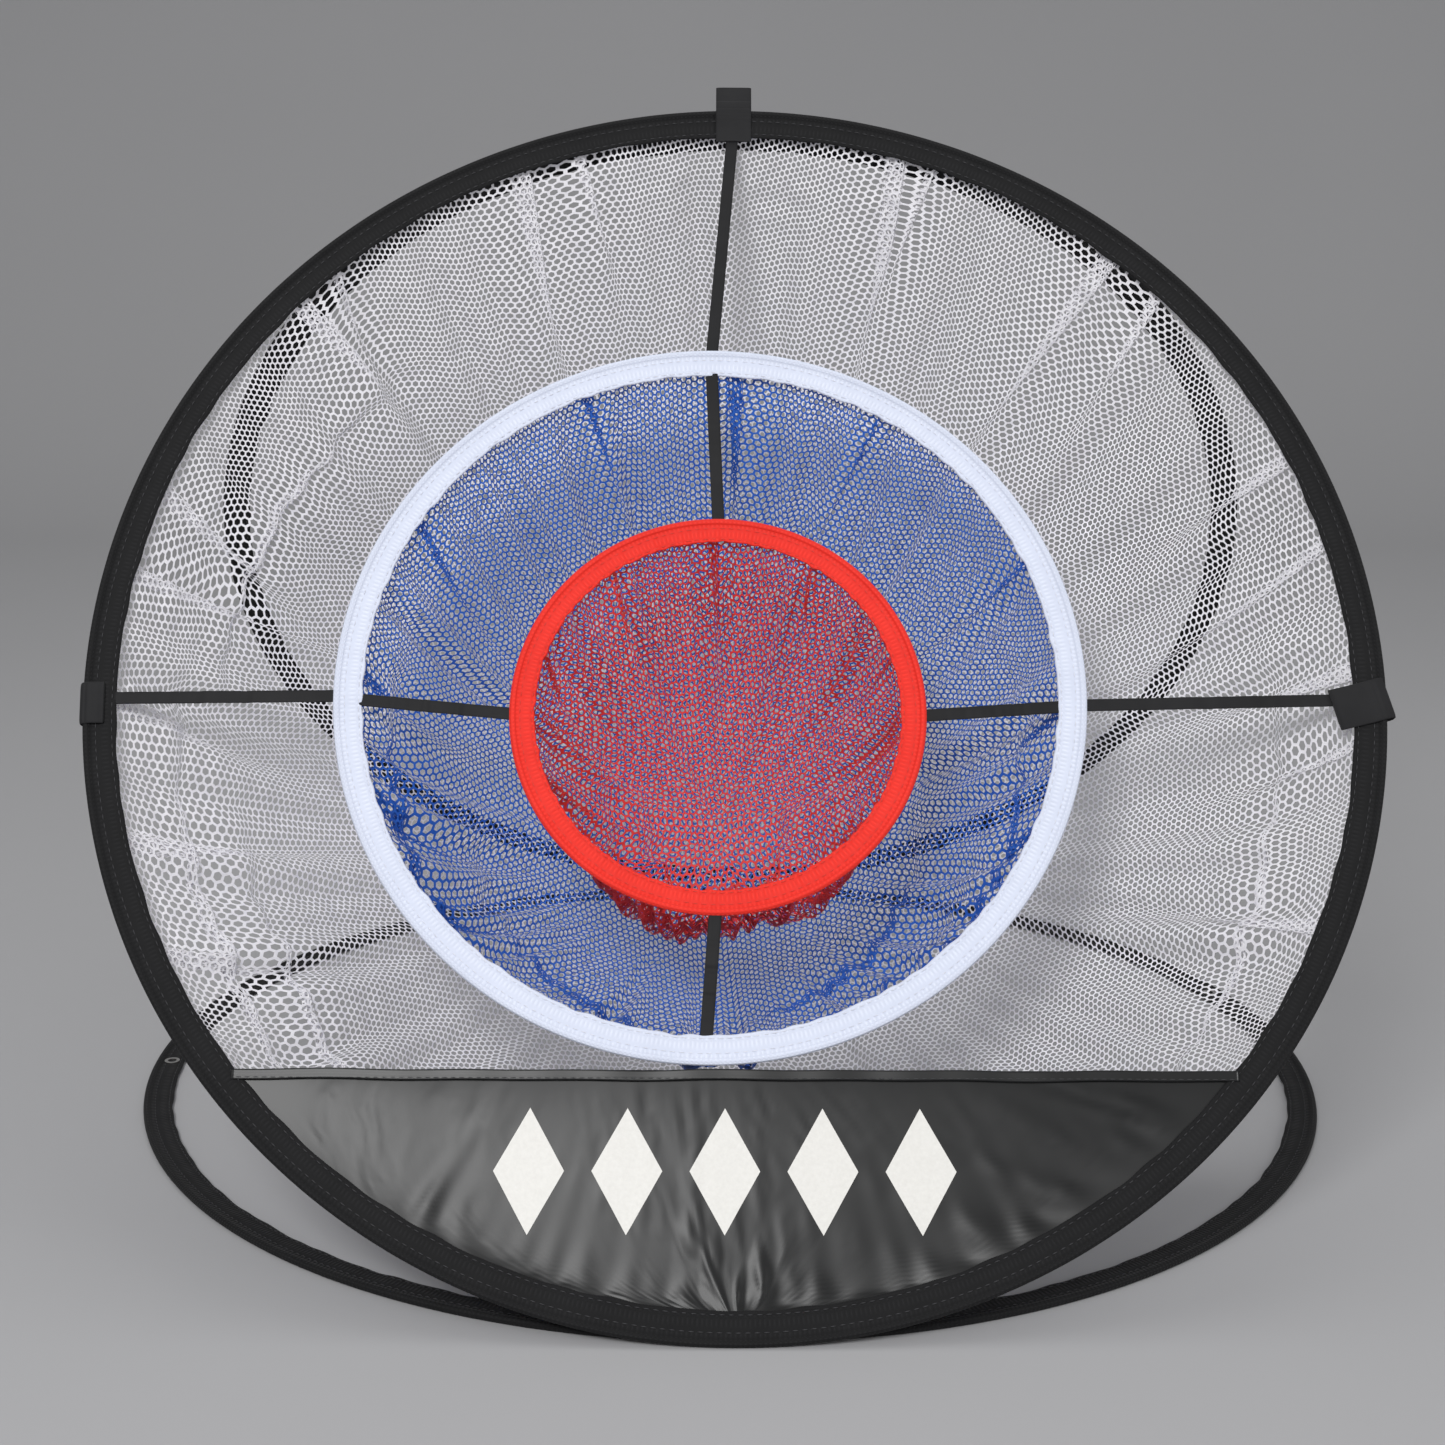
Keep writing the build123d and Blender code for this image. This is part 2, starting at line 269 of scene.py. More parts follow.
def tape_material(name, dark, light, pitch, roughness, sheen):
    """Woven tape with a fine weave along its UV map and slightly uneven colour."""
    material, nodes, links, shader = new_material(name)
    height = weave_height(nodes, links, pitch)
    blotches = noise(nodes, links, 60.0)
    mixed = nodes.new("ShaderNodeMath")
    mixed.operation = "MULTIPLY_ADD"
    mixed.inputs[1].default_value = 0.55
    links.new(height, mixed.inputs[0])
    scaled = nodes.new("ShaderNodeMath")
    scaled.operation = "MULTIPLY"
    scaled.inputs[1].default_value = 0.5
    links.new(blotches.outputs["Fac"], scaled.inputs[0])
    links.new(scaled.outputs["Value"], mixed.inputs[2])
    colour_mix(nodes, links, shader, mixed.outputs["Value"], dark, light)
    shader.inputs["Roughness"].default_value = roughness
    shader.inputs["Specular IOR Level"].default_value = 0.2
    shader.inputs["Sheen Weight"].default_value = sheen
    shader.inputs["Sheen Roughness"].default_value = 0.5
    bump(nodes, links, shader, height, 0.00025, 0.8)
    return material


def nylon_material():
    """Satin nylon: dark, fairly glossy and a little uneven."""
    material, nodes, links, shader = new_material("satin_nylon")
    height = weave_height(nodes, links, 0.0007)
    patches = noise(nodes, links, 18.0, 4.0)
    colour_mix(nodes, links, shader, patches.outputs["Fac"], (0.0025, 0.0027, 0.003), (0.006, 0.0065, 0.007))
    shader.inputs["Roughness"].default_value = 0.36
    shader.inputs["Specular IOR Level"].default_value = 0.32
    bump(nodes, links, shader, height, 0.00008, 0.5)
    return material


def mesh_material(name, dark, light):
    """Knitted thread: colour that drifts a little from thread to thread."""
    material, nodes, links, shader = new_material(name)
    drift = noise(nodes, links, 240.0, 2.0)
    colour_mix(nodes, links, shader, drift.outputs["Fac"], dark, light)
    shader.inputs["Roughness"].default_value = 0.55
    shader.inputs["Specular IOR Level"].default_value = 0.3
    twist = noise(nodes, links, 2500.0, 1.0)
    bump(nodes, links, shader, twist.outputs["Fac"], 0.0002, 0.6)
    return material


def metal_material(name, colour, roughness):
    material, nodes, links, shader = new_material(name)
    scratches = noise(nodes, links, 900.0, 4.0)
    dull = tuple(0.8 * channel for channel in colour)
    ramp = colour_mix(nodes, links, shader, scratches.outputs["Fac"], dull, colour)
    ramp.color_ramp.elements[0].position = 0.3
    shader.inputs["Metallic"].default_value = 1.0
    shader.inputs["Roughness"].default_value = roughness
    bump(nodes, links, shader, scratches.outputs["Fac"], 0.00004, 0.5)
    return material


def thread_material(name, colour):
    material, nodes, links, shader = new_material(name)
    twist = noise(nodes, links, 1800.0, 1.0)
    colour_mix(nodes, links, shader, twist.outputs["Fac"], tuple(0.6 * c for c in colour), colour)
    shader.inputs["Roughness"].default_value = 0.6
    bump(nodes, links, shader, twist.outputs["Fac"], 0.0001, 0.8)
    return material


def print_material():
    material, nodes, links, shader = new_material("white_print")
    grain = noise(nodes, links, 700.0, 3.0)
    colour_mix(nodes, links, shader, grain.outputs["Fac"], (0.62, 0.61, 0.58), (0.74, 0.73, 0.70))
    shader.inputs["Roughness"].default_value = 0.5
    bump(nodes, links, shader, grain.outputs["Fac"], 0.00005, 0.6)
    return material


def floor_material():
    material, nodes, links, shader = new_material("studio_floor")
    soft = noise(nodes, links, 1.5, 2.0)
    colour_mix(nodes, links, shader, soft.outputs["Fac"], (0.36, 0.36, 0.37), (0.39, 0.39, 0.40))
    shader.inputs["Roughness"].default_value = 0.9
    return material


# dark and light colour, pitch of the weave, roughness, sheen
BLACK_TAPE = tape_material("black_tape", (0.004, 0.004, 0.0045), (0.013, 0.013, 0.014), 0.0009, 0.75, 0.03)
BLACK_WEBBING = tape_material("black_webbing", (0.007, 0.007, 0.008), (0.03, 0.03, 0.032), 0.0012, 0.7, 0.04)
ELASTIC_LIGHT = (0.026, 0.026, 0.028)
BLACK_ELASTIC = tape_material("black_elastic", (0.006, 0.006, 0.007), ELASTIC_LIGHT, 0.0007, 0.65, 0.03)
WHITE_TAPE = tape_material("white_tape", (0.56, 0.60, 0.72), (0.72, 0.76, 0.88), 0.0009, 0.65, 0.05)
RED_TAPE = tape_material("red_tape", (0.66, 0.018, 0.010), (0.88, 0.040, 0.025), 0.0009, 0.6, 0.05)
NYLON = nylon_material()
WHITE_MESH = mesh_material("white_mesh", (0.70, 0.69, 0.73), (0.84, 0.83, 0.86))
BLUE_MESH = mesh_material("blue_mesh", (0.008, 0.055, 0.36), (0.03, 0.16, 0.62))
RED_MESH = mesh_material("red_mesh", (0.42, 0.012, 0.015), (0.80, 0.05, 0.04))
SPRING_STEEL = metal_material("spring_steel", (0.45, 0.45, 0.47), 0.35)
EYELET_METAL = metal_material("eyelet_metal", (0.78, 0.77, 0.74), 0.22)
BLACK_THREAD = thread_material("black_thread", (0.045, 0.045, 0.05))
WHITE_THREAD = thread_material("white_thread", (0.85, 0.87, 0.95))
RED_THREAD = thread_material("red_thread", (0.80, 0.05, 0.03))
PRINT = print_material()
FLOOR = floor_material()


# ---------------- sleeves
SLEEVE_STEPS = 720
BULGE_STEPS = 14


def sleeve_section(ring):
    """A sleeve's closed outline as (radius, out): round over the wire, flat to the stitched inner edge."""
    points = []
    start = math.asin(min(1.0, ring.thickness / 2 / ring.bulge))
    for step in range(BULGE_STEPS + 1):
        turn = -math.pi + start + (2 * math.pi - 2 * start) * step / BULGE_STEPS
        points.append((ring.wire_radius + ring.bulge * math.cos(turn), ring.bulge * math.sin(turn)))
    flat_top = [(0.80, 0.5), (0.55, 0.42), (0.30, 0.5), (0.22, 0.36), (0.14, 0.5), (0.03, 0.45)]
    band = ring.wire_radius - ring.bulge - ring.inner
    upper = [(ring.inner + band * along, ring.thickness * height) for along, height in flat_top]
    lower = [(radius, -out) for radius, out in reversed(upper)]
    return points + upper + [(ring.inner, 0.0)] + lower


def sleeve(name, ring, material, seed):
    """A sleeve swept round its ring, with a band that puckers a little and an edge that isn't quite even."""
    section = sleeve_section(ring)
    angles = np.linspace(0, 2 * math.pi, SLEEVE_STEPS, endpoint=False)
    radii = np.array([point[0] for point in section])
    outs = np.array([point[1] for point in section])
    reach = np.clip((ring.wire_radius - radii) / (ring.wire_radius - ring.inner), 0, 1)
    pucker = wave(angles, (37, 53, 71, 96, 131), seed, 0.0006)
    edge = wave(angles, (19, 43, 67, 88), seed + 1, 0.0007)
    plump = 1.0 + wave(angles, (23, 61, 97), seed + 2, 0.05)
    radius = radii[None, :] + reach[None, :] ** 2 * edge[:, None]
    bulge_part = (reach <= 0.01)[None, :]
    out = np.where(bulge_part, outs[None, :] * plump[:, None], outs[None, :])
    out = out + reach[None, :] * pucker[:, None]
    points = ring.place(radius, angles[:, None], out)
    count = len(section)
    faces = grid_faces(SLEEVE_STEPS, count, close_rows=True, close_columns=True)
    piece = new_piece(name, points.reshape(-1, 3), faces, material)
    add_sweep_uv(piece, SLEEVE_STEPS, count, 2 * math.pi * ring.radius, 2 * ring.band)
    return piece


def add_sweep_uv(piece, rows, columns, length, width):
    """A UV map in metres along and across a swept strip, so that a weave has its real size."""
    layer = piece.data.uv_layers.new(name="weave")
    mesh = piece.data
    loops = np.empty(len(mesh.loops), int)
    mesh.loops.foreach_get("vertex_index", loops)
    row, column = loops // columns, loops % columns
    uv = np.empty((len(loops), 2))
    uv[:, 0] = row * length / rows
    uv[:, 1] = column * width / columns
    corner = (np.arange(len(mesh.polygons)) * 4)[:, None] + np.arange(4)
    for axis, whole in enumerate((length, width)):
        value = uv[corner, axis]
        past_seam = value.max(1, keepdims=True) - value > whole / 2
        uv[corner, axis] = np.where(past_seam, value + whole, value)
    layer.data.foreach_set("uv", uv.ravel())


STITCH_SIDES = 5
STITCH_STEPS = 5


def stitch_faces(base):
    """The sides and the two ends of one stitch whose points start at base."""
    faces = []
    for step in range(STITCH_STEPS - 1):
        here, there = base + step * STITCH_SIDES, base + (step + 1) * STITCH_SIDES
        for corner in range(STITCH_SIDES):
            beside = (corner + 1) % STITCH_SIDES
            faces.append((here + corner, here + beside, there + beside, there + corner))
    last = base + (STITCH_STEPS - 1) * STITCH_SIDES
    faces.append([base + corner for corner in range(STITCH_SIDES)][::-1])
    faces.append([last + corner for corner in range(STITCH_SIDES)])
    return faces


def stitches(name, place, count, length, rise, radius, material):
    """A row of raised stitches: place(i, shift) gives a point on the cloth, its normal and its tangent."""
    vertices, faces = [], []
    for index in range(count):
        faces += stitch_faces(len(vertices))
        for step in range(STITCH_STEPS):
            share = step / (STITCH_STEPS - 1)
            arch = math.sin(math.pi * share)
            point, normal, tangent = place(index, (share - 0.5) * length)
            side = np.cross(tangent, normal)
            thickness = radius * (0.35 + 0.65 * arch)
            for corner in range(STITCH_SIDES):
                turn = 2 * math.pi * corner / STITCH_SIDES
                offset = side * math.cos(turn) + normal * math.sin(turn)
                vertices.append(point + normal * rise * arch + offset * thickness)
    return new_piece(name, vertices, faces, material)


def ring_stitches(name, ring, radius, count, material):
    """Stitches all round a sleeve's band."""
    tangent_step = 1e-4

    def place(index, shift):
        angle = 2 * math.pi * index / count + shift / radius
        point = ring.place(radius, np.array(angle), ring.thickness / 2)
        ahead = ring.place(radius, np.array(angle + tangent_step), ring.thickness / 2)
        tangent = (ahead - point) / np.linalg.norm(ahead - point)
        return point, ring.plane.out, tangent

    return stitches(name, place, count, 0.0022, 0.00022, 0.00018, material)


# ---------------- cloth
def settle(name, start, rest, faces, pinned, frames, weight=0.12, bending=0.008, tension=12.0):
    """Drapes a mesh from start towards the flat cut rest with Blender's cloth, and returns its points."""
    mesh = bpy.data.meshes.new(name)
    mesh.from_pydata(start.tolist(), [], [tuple(f) for f in faces])
    cloth_object = bpy.data.objects.new(name, mesh)
    bpy.context.scene.collection.objects.link(cloth_object)
    cloth_object.shape_key_add(name="Basis")
    cut = cloth_object.shape_key_add(name="cut")
    cut.data.foreach_set("co", rest.astype(float).ravel())
    group = cloth_object.vertex_groups.new(name="pinned")
    group.add([int(i) for i in pinned], 1.0, "REPLACE")
    modifier = cloth_object.modifiers.new("cloth", "CLOTH")
    settings = modifier.settings
    settings.vertex_group_mass = "pinned"
    settings.rest_shape_key = cut
    settings.quality = 6
    settings.mass = weight * len(start) ** -0.5
    settings.tension_stiffness = tension
    settings.compression_stiffness = tension / 6
    settings.shear_stiffness = tension / 8
    settings.bending_stiffness = bending
    settings.tension_damping = 8.0
    settings.compression_damping = 8.0
    settings.air_damping = 2.0
    modifier.collision_settings.use_collision = False
    modifier.collision_settings.use_self_collision = False
    modifier.point_cache.frame_start = 1
    modifier.point_cache.frame_end = frames
    scene = bpy.context.scene
    for number in range(1, frames + 1):
        scene.frame_set(number)
    shaped = cloth_object.evaluated_get(bpy.context.evaluated_depsgraph_get())
    points = np.empty(len(start) * 3)
    shaped.data.vertices.foreach_get("co", points)
    scene.frame_set(1)
    bpy.data.objects.remove(cloth_object)
    return points.reshape(-1, 3)


class Bag:
    """A round net cut flat as a disc, gathered into a ring and hung as a pouch."""

    def __init__(self, ring, rim, cut_radius, depth, sag, droop, pleats, tucks, seed, rings=44, spokes=300):
        self.ring = ring
        self.rim = rim
        self.cut_radius = cut_radius
        self.depth = depth
        self.sag = sag
        self.droop = droop
        self.pleats = pleats
        self.tucks = tucks
        self.seed = seed
        self.rings = rings
        self.spokes = spokes
        self.shares = (np.arange(rings) + 0.6) / (rings - 0.4)
        self.angles = np.linspace(0, 2 * math.pi, spokes, endpoint=False)

    def rest(self):
        """The flat cut, lying in the plane behind the ring."""
        radius = self.cut_radius * self.shares[:, None]
        flat = self.ring.place(radius, self.angles[None, :], -0.001)
        middle = self.ring.place(0.0, np.array(0.0), -0.001)
        return np.concatenate([middle[None], flat.reshape(-1, 3)])

    def start(self):
        """The pouch before it settles: a cap behind the ring, with pleats that grow towards the rim."""
        sphere = (self.rim**2 + self.depth**2) / (2 * self.depth)
        widest = math.atan2(self.rim, sphere - self.depth)
        turn = self.shares[:, None] * widest
        angle = np.broadcast_to(self.angles[None, :], (self.rings, self.spokes))
        radius = sphere * np.sin(turn) * np.ones_like(angle)
        below = sphere * np.cos(turn) - (sphere - self.depth)
        pleat = wave(self.angles, (31, 38, 47, 59, 72), self.seed, 0.010)
        soft = wave(self.angles, (5, 7, 11, 16), self.seed + 1, 0.008)
        swell = np.sin(math.pi * np.clip(self.shares, 0, 1))[:, None]
        near_rim = (self.shares**3 * (1 - self.shares))[:, None] * 6
        radius = radius + near_rim * pleat[None, :] + swell * soft[None, :]
        out = -below - 0.0009 - near_rim * 0.5 * pleat[None, :]
        points = self.ring.place(radius, angle, np.minimum(out, -RIM_GAP))
        points = points - self.sag * (below / self.depth)[..., None] * self.ring.plane.up
        low_side = np.clip(-np.sin(angle), 0, 1) ** 0.7 * np.sin(math.pi * self.shares[:, None]) ** 0.8
        points[..., 2] -= self.droop * low_side
        middle = self.ring.place(0.0, np.array(0.0), -self.depth) - self.sag * self.ring.plane.up
        return np.concatenate([middle[None], points.reshape(-1, 3)])

    def faces(self):
        faces = [(0, 1 + j, 1 + (j + 1) % self.spokes) for j in range(self.spokes)]
        for face in grid_faces(self.rings, self.spokes, close_columns=True):
            faces.append(tuple(1 + corner for corner in face))
        return faces

    def settle(self, frames):
        start = self.start()
        last = 1 + (self.rings - 1) * self.spokes
        pinned = range(last, last + self.spokes)
        points = settle("bag", start, self.rest(), self.faces(), pinned, frames)
        self.points = self.keep_inside(points)

    def keep_inside(self, points):
        """Keeps the cloth behind its ring, above the ground and within reach of its plain shape."""
        plane = self.ring.plane
        offset = points - plane.origin
        out = offset @ plane.out
        deepest = -(self.depth * 1.06 + 0.004)
        points = points + (np.clip(out, deepest, -RIM_GAP) - out)[:, None] * plane.out
        points[:, 2] = np.maximum(points[:, 2], GROUND_GAP)
        return points

    def folded(self, radius, angle):
        """Folds the cut over itself at its pleats and tucks: new radius and angle, and how far it lifts."""
        lift = np.zeros_like(radius)
        share = radius / self.cut_radius
        for where, slant, reach, size in self.pleats:
            fade = smooth(1 - (1 - share) / reach)
            centre = math.radians(where) + math.radians(slant) * (1 - share)
            away = wrapped(angle - centre) / math.radians(size)
            bell = np.exp(-0.5 * away**2) * fade
            angle = angle - 2.1 * math.radians(size) * away * bell
            lift = lift + 0.0022 * away * bell
        for where, width, middle, spread in self.tucks:
            away_angle = wrapped(angle - math.radians(middle)) / math.radians(spread)
            away = (radius / self.cut_radius - where) / width
            bell = np.exp(-0.5 * away**2 - 0.5 * away_angle**2)
            radius = radius - 2.2 * width * self.cut_radius * away * bell
            lift = lift + 0.003 * away * bell
        return radius, angle, lift

    def surface(self, across, up):
        """The hung place of points of the flat cut, by smooth interpolation between the settled points."""
        radius, angle, lift = self.folded(np.hypot(across, up), np.arctan2(up, across))
        angle = angle % (2 * math.pi)
        row = np.clip(radius / self.cut_radius * (self.rings - 0.4) - 0.6, -1, self.rings - 1) + 1
        column = angle / (2 * math.pi) * self.spokes
        grid = self.points[1:].reshape(self.rings, self.spokes, 3)
        grid = np.concatenate([np.broadcast_to(self.points[0], (1, self.spokes, 3)), grid])
        low_row = np.clip(np.floor(row).astype(int), 0, self.rings - 1)
        low_column = np.floor(column).astype(int)
        total = lift[:, None] * self.ring.plane.out
        for i, row_weight in enumerate(cubic_weights(row - low_row)):
            rows = np.clip(low_row + i - 1, 0, self.rings)
            for j, column_weight in enumerate(cubic_weights(column - low_column)):
                columns = (low_column + j - 1) % self.spokes
                total += (row_weight * column_weight)[:, None] * grid[rows, columns]
        return self.keep_inside(total)


def wrapped(angle):
    """An angle brought between minus and plus half a turn."""
    return (angle + math.pi) % (2 * math.pi) - math.pi


def smooth(share):
    """An even rise from 0 to 1."""
    share = np.clip(share, 0, 1)
    return share * share * (3 - 2 * share)


def cubic_weights(share):
    """Catmull-Rom weights of the four neighbours of a point."""
    square, cube = share**2, share**3
    return (
        -0.5 * share + square - 0.5 * cube,
        1.0 - 2.5 * square + 1.5 * cube,
        0.5 * share + 2.0 * square - 1.5 * cube,
        -0.5 * square + 0.5 * cube,
    )


# ---------------- hexagonal netting
def hexagon_net(bag, pitch, turn):
    """Flat netting, threads round hexagonal holes: its points across and up, its quads and its triangles."""
    reach = int(bag.cut_radius / pitch * 1.2) + 2
    steps = np.arange(-reach, reach + 1)
    across_step, up_step = np.meshgrid(steps, steps, indexing="ij")
    across = pitch * (across_step + 0.5 * up_step)
    up = pitch * (math.sqrt(3) / 2) * up_step
    inside = np.hypot(across, up) < bag.cut_radius - pitch * 0.6
    number = -np.ones(inside.shape, int)
    number[inside] = np.arange(inside.sum())
    middle_across, middle_up = across[inside], up[inside]
    hole = pitch / math.sqrt(3) * (1 - THREAD_SHARE)
    corner_turn = np.radians(60 * np.arange(6) + 30)
    corner_across = middle_across[:, None] + hole * np.cos(corner_turn)
    corner_up = middle_up[:, None] + hole * np.sin(corner_turn)
    spin = math.radians(turn)
    turned_across = corner_across * math.cos(spin) - corner_up * math.sin(spin)
    turned_up = corner_across * math.sin(spin) + corner_up * math.cos(spin)
    moves = [(1, 0), (0, 1), (-1, 1)]
    row, column = np.nonzero(inside)

    def neighbour(move):
        return number[np.clip(row + move[0], 0, 2 * reach), np.clip(column + move[1], 0, 2 * reach)]

    cell = number[inside]
    quads = []
    for side, move in enumerate(moves):
        other = neighbour(move)
        keep = other >= 0
        here, there = cell[keep] * 6, other[keep] * 6
        near = (here + (side - 1) % 6, here + side)
        far = (there + (side + 3) % 6, there + (side + 2) % 6)
        quads.append(np.stack([near[0], far[0], far[1], near[1]], 1))
    knots = []
    for side in (0, 1):
        first, second = neighbour(moves[side]), neighbour(moves[side + 1])
        keep = (first >= 0) & (second >= 0)
        here, there, beyond = cell[keep] * 6, first[keep] * 6, second[keep] * 6
        knots.append(np.stack([here + side, there + side + 2, beyond + side + 4], 1))
    return turned_across.ravel(), turned_up.ravel(), np.concatenate(quads), np.concatenate(knots)


def hang_net(name, bag, pitch, turn, material, parts=1):
    """Hangs flat netting on a settled bag, cut into parts side by side."""
    across, up, quads, knots = hexagon_net(bag, pitch, turn)
    points = bag.surface(across, up)
    no_corner = np.full((len(knots), 1), -1)
    corners = np.concatenate([quads, np.concatenate([knots, no_corner], 1)])
    face_across = across[corners[:, 0]]
    limits = np.quantile(face_across, np.linspace(0, 1, parts + 1))
    pieces = []
    for index in range(parts):
        last = index == parts - 1
        chosen = (face_across >= limits[index]) & ((face_across < limits[index + 1]) | last)
        some = corners[chosen]
        used = np.unique(some[some >= 0])
        lookup = np.full(len(across), -1)
        lookup[used] = np.arange(len(used))
        faces = [[lookup[c] for c in face if c >= 0] for face in some.tolist()]
        piece_name = name if parts == 1 else f"{name}_{index + 1}"
        pieces.append(new_piece(piece_name, points[used], faces, material))
    return pieces


# ---------------- build
STITCH_ROWS = (0.16, 0.80)
STITCH_PITCH = 0.0034


def make_sleeves():
    """The five sleeves, each with two rows of stitches on its band."""
    black, white, red = (BLACK_TAPE, BLACK_THREAD), (WHITE_TAPE, WHITE_THREAD), (RED_TAPE, RED_THREAD)
    rows = (
        ("front_hoop", front_ring, black, "front_hoop", "front_sleeve", "black_tape"),
        ("rear_hoop", rear_ring, black, "rear_hoop", "rear_sleeve", "black_tape"),
        ("base_hoop", base_ring, black, "base", "base_sleeve", "black_tape"),
        ("white_target", white_ring, white, "front_hoop", "white_ring_sleeve", "white_tape"),
        ("red_target", red_ring, red, "front_hoop", "red_ring_sleeve", "red_tape"),
    )
    for order, (label, ring, (cloth, thread), body, node, slot) in enumerate(rows):
        name = label + "_sleeve"
        finish_piece(sleeve(name, ring, cloth, SEED + 10 * order), body, node)
        for row, share in enumerate(STITCH_ROWS):
            radius = ring.inner + (ring.wire_radius - ring.bulge - ring.inner) * share
            count = int(2 * math.pi * radius / STITCH_PITCH)
            seam = ring_stitches(f"{name}_stitches_{row + 1}", ring, radius, count, thread)
            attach(seam, body)


def make_nets():
    outer = Bag(
        front_ring,
        rim=front_ring.radius - 0.009,
        cut_radius=0.306,
        depth=0.120,
        sag=0.020,
        droop=0.010,
        pleats=OUTER_PLEATS,
        tucks=OUTER_TUCKS,
        seed=SEED,
        rings=50,
        spokes=400,
    )
    middle = Bag(
        white_ring,
        rim=white_ring.radius - 0.0075,
        cut_radius=0.196,
        depth=0.088,
        sag=0.026,
        droop=0.014,
        pleats=MIDDLE_PLEATS,
        tucks=MIDDLE_TUCKS,
        seed=SEED + 3,
    )
    inner = Bag(
        red_ring,
        rim=red_ring.radius - 0.0065,
        cut_radius=0.118,
        depth=0.058,
        sag=0.026,
        droop=0.010,
        pleats=INNER_PLEATS,
        tucks=INNER_TUCKS,
        seed=SEED + 5,
    )
    rows = (
        ("white_net", outer, WHITE_MESH, 2, "outer_net", "white_mesh", 12.0),
        ("blue_net", middle, BLUE_MESH, 1, "middle_net", "blue_mesh", 35.0),
        ("red_net", inner, RED_MESH, 1, "inner_net", "red_mesh", 5.0),
    )
    anchor = front_plane.place(np.array([0.0, 0.25, -0.002]))
    for name, bag, material, parts, node, slot, turn in rows:
        bag.settle(NET_FRAMES)
        for index, piece in enumerate(hang_net(name, bag, MESH_PITCH, turn, material, parts)):
            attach(piece, "front_hoop")
            if index == 0:
                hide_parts(node)
            tuple(anchor)
            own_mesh(piece)


# Pleats sewn into a net's rim: (angle round the ring, slant and reach towards the middle, size), in degrees
# and as a share of the cut's radius.  Tucks lie along the rim: (share of the radius, width, angle, spread).
OUTER_PLEATS = (
    (138, -10, 0.34, 2.0),
    (133, 14, 0.25, 1.2),
    (112, 6, 0.48, 2.3),
    (106, -8, 0.28, 1.2),
    (74, -5, 0.55, 2.0),
    (70, 8, 0.29, 1.1),
    (50, 9, 0.57, 2.3),
    (44, -6, 0.34, 1.4),
    (23, 6, 0.34, 2.0),
    (14, -9, 0.52, 1.6),
    (1, 5, 0.39, 2.2),
    (354, -8, 0.34, 1.4),
    (336, 10, 0.46, 1.9),
    (318, -8, 0.40, 1.7),
    (161, 8, 0.37, 2.0),
    (170, -12, 0.48, 1.6),
    (182, 8, 0.39, 2.2),
    (196, -6, 0.52, 2.3),
    (207, 8, 0.46, 2.0),
    (222, -10, 0.41, 1.9),
    (240, 8, 0.34, 2.0),
    (262, -6, 0.34, 2.0),
    (285, 8, 0.34, 2.0),
)
OUTER_TUCKS = (
    (0.88, 0.030, 205, 16),
    (0.78, 0.022, 218, 14),
    (0.86, 0.022, 338, 14),
    (0.82, 0.020, 156, 12),
)
MIDDLE_PLEATS = (
    (86, -4, 0.60, 3.0),
    (60, 14, 0.55, 1.1),
    (112, -10, 0.45, 1.4),
    (148, 10, 0.50, 1.8),
    (176, 6, 0.45, 2.5),
    (196, 12, 0.65, 2.8),
    (214, 8, 0.70, 3.4),
    (232, 14, 0.60, 2.8),
    (250, 4, 0.60, 3.0),
    (268, -4, 0.75, 3.9),
    (288, -8, 0.60, 3.2),
    (306, -12, 0.60, 2.8),
    (322, -8, 0.65, 3.2),
    (340, -14, 0.55, 2.5),
    (358, -8, 0.45, 2.1),
    (24, 10, 0.50, 1.6),
)
MIDDLE_TUCKS = (
    (0.88, 0.055, 262, 36),
    (0.72, 0.045, 285, 30),
    (0.86, 0.050, 206, 22),
    (0.84, 0.045, 330, 22),
    (0.62, 0.040, 245, 26),
    (0.54, 0.035, 310, 24),
)
INNER_PLEATS = (
    (92, -6, 0.75, 3.4),
    (124, 12, 0.50, 2.0),
    (60, -12, 0.45, 2.0),
    (158, 10, 0.55, 2.6),
    (200, 12, 0.65, 3.4),
    (225, 10, 0.75, 4.2),
    (248, 6, 0.80, 4.6),
    (270, -2, 0.80, 5.0),
    (294, -8, 0.75, 4.4),
    (318, -10, 0.70, 3.6),
    (345, -10, 0.60, 2.8),
    (20, 12, 0.50, 2.2),
)
INNER_TUCKS = (
    (0.84, 0.070, 258, 40),
    (0.66, 0.060, 282, 36),
    (0.48, 0.050, 250, 40),
    (0.78, 0.045, 215, 20),
    (0.30, 0.060, 275, 50),
)


# ---------------- straps, tabs and tapes
RIBBON_STEPS = 64
RIBBON_ACROSS = 22


def smooth_path(corners, steps=RIBBON_STEPS):
    """Points along a smooth curve through the corners, with even steps between each pair."""
    corners = np.asarray(corners, float)
    padded = np.concatenate([2 * corners[:1] - corners[1:2], corners, 2 * corners[-1:] - corners[-2:-1]])
    where = np.linspace(0, len(corners) - 1, steps)
    low = np.minimum(where.astype(int), len(corners) - 2)
    return sum(weight[:, None] * padded[low + i] for i, weight in enumerate(cubic_weights(where - low)))


